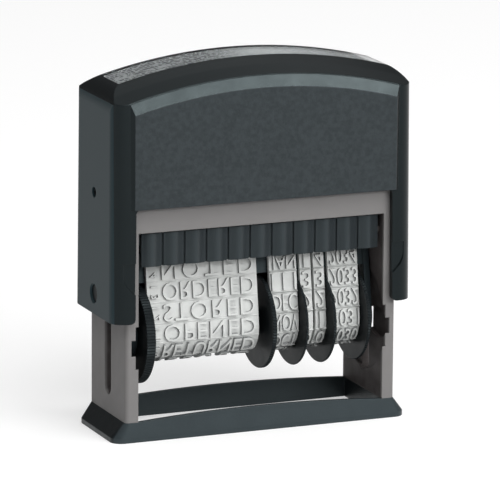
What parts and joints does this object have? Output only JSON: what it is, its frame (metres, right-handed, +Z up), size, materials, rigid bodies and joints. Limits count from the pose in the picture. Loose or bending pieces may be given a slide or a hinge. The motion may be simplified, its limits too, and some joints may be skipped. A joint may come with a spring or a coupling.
{
  "type": "self-inking date stamp",
  "caption": "Hand-pressed self-inking stamp whose cap slides down a grey frame and flips a carriage of type bands from an ink pad onto the paper.",
  "frame": {"origin": "centre of the foot's underside, where the stamp stands on the paper", "axes": "+Z up, opposite to the press; +X along the print line from the phrase band to the year band; the front faces -Y"},
  "size_m": [0.0654, 0.0246, 0.0769],
  "materials": {
    "black_gloss": "glossy moulded black",
    "black_satin": "satin moulded black",
    "wheel_plastic": "satin moulded black",
    "dark_pin": "satin black",
    "grey_frame": "satin warm grey",
    "band_rubber": "matt pale grey",
    "ink_felt": "inked felt",
    "steel": "drawn wire and rod",
    "card": "printed card",
    "clear_window": "clear moulded"
  },
  "bodies": {
    "base": {"foot": "black_satin", "frame": "grey_frame", "return_spring": "steel"},
    "cap": {"cap_shell": "black_gloss", "index_card": "card", "index_window": "clear_window"},
    "ink_pad": {"pad_tray": "black_satin", "pad_felt": "ink_felt"},
    "carriage": {"left_cheek": "black_satin", "right_cheek": "black_satin", "left_pivot_pin": "dark_pin", "right_pivot_pin": "dark_pin", "platen": "black_satin", "wheel_shaft": "steel", "phrase_band": "band_rubber", "month_band": "band_rubber", "tens_band": "band_rubber", "units_band": "band_rubber", "year_band": "band_rubber"},
    "phrase_wheel": {"phrase_wheel": "wheel_plastic"},
    "month_wheel": {"month_wheel": "wheel_plastic"},
    "tens_wheel": {"tens_wheel": "wheel_plastic"},
    "units_wheel": {"units_wheel": "wheel_plastic"},
    "year_wheel": {"year_wheel": "wheel_plastic"}
  },
  "joints": [
    {"name": "cap_press", "type": "slide", "parent": "base", "child": "cap", "axis": [0, 0, -1], "range_m": [0, 0.0194], "stiffness_N_per_m": 300, "springref_m": -0.01, "deforming": ["return_spring"]},
    {"name": "carriage_flip", "type": "hinge", "parent": "cap", "child": "carriage", "pos_m": [0, 0, 0.0292], "axis": [-1, 0, 0], "range_deg": [0, 180]},
    {"name": "pad_slide", "type": "slide", "parent": "base", "child": "ink_pad", "axis": [0, 1, 0], "range_m": [-0.016, 0]},
    {"name": "phrase_dial", "type": "hinge", "parent": "carriage", "child": "phrase_wheel", "pos_m": [-0.0241, 0, 0.0204], "axis": [1, 0, 0], "continuous": true},
    {"name": "month_dial", "type": "hinge", "parent": "carriage", "child": "month_wheel", "pos_m": [0.00315, 0, 0.0204], "axis": [1, 0, 0], "continuous": true},
    {"name": "tens_dial", "type": "hinge", "parent": "carriage", "child": "tens_wheel", "pos_m": [0.0103, 0, 0.0204], "axis": [1, 0, 0], "continuous": true},
    {"name": "units_dial", "type": "hinge", "parent": "carriage", "child": "units_wheel", "pos_m": [0.0165, 0, 0.0204], "axis": [1, 0, 0], "continuous": true},
    {"name": "year_dial", "type": "hinge", "parent": "carriage", "child": "year_wheel", "pos_m": [0.0241, 0, 0.0204], "axis": [1, 0, 0], "continuous": true}
  ],
  "couplings": [
    {"joint": "carriage_flip", "follows": "cap_press", "rad_per_m": 161.93}
  ]
}
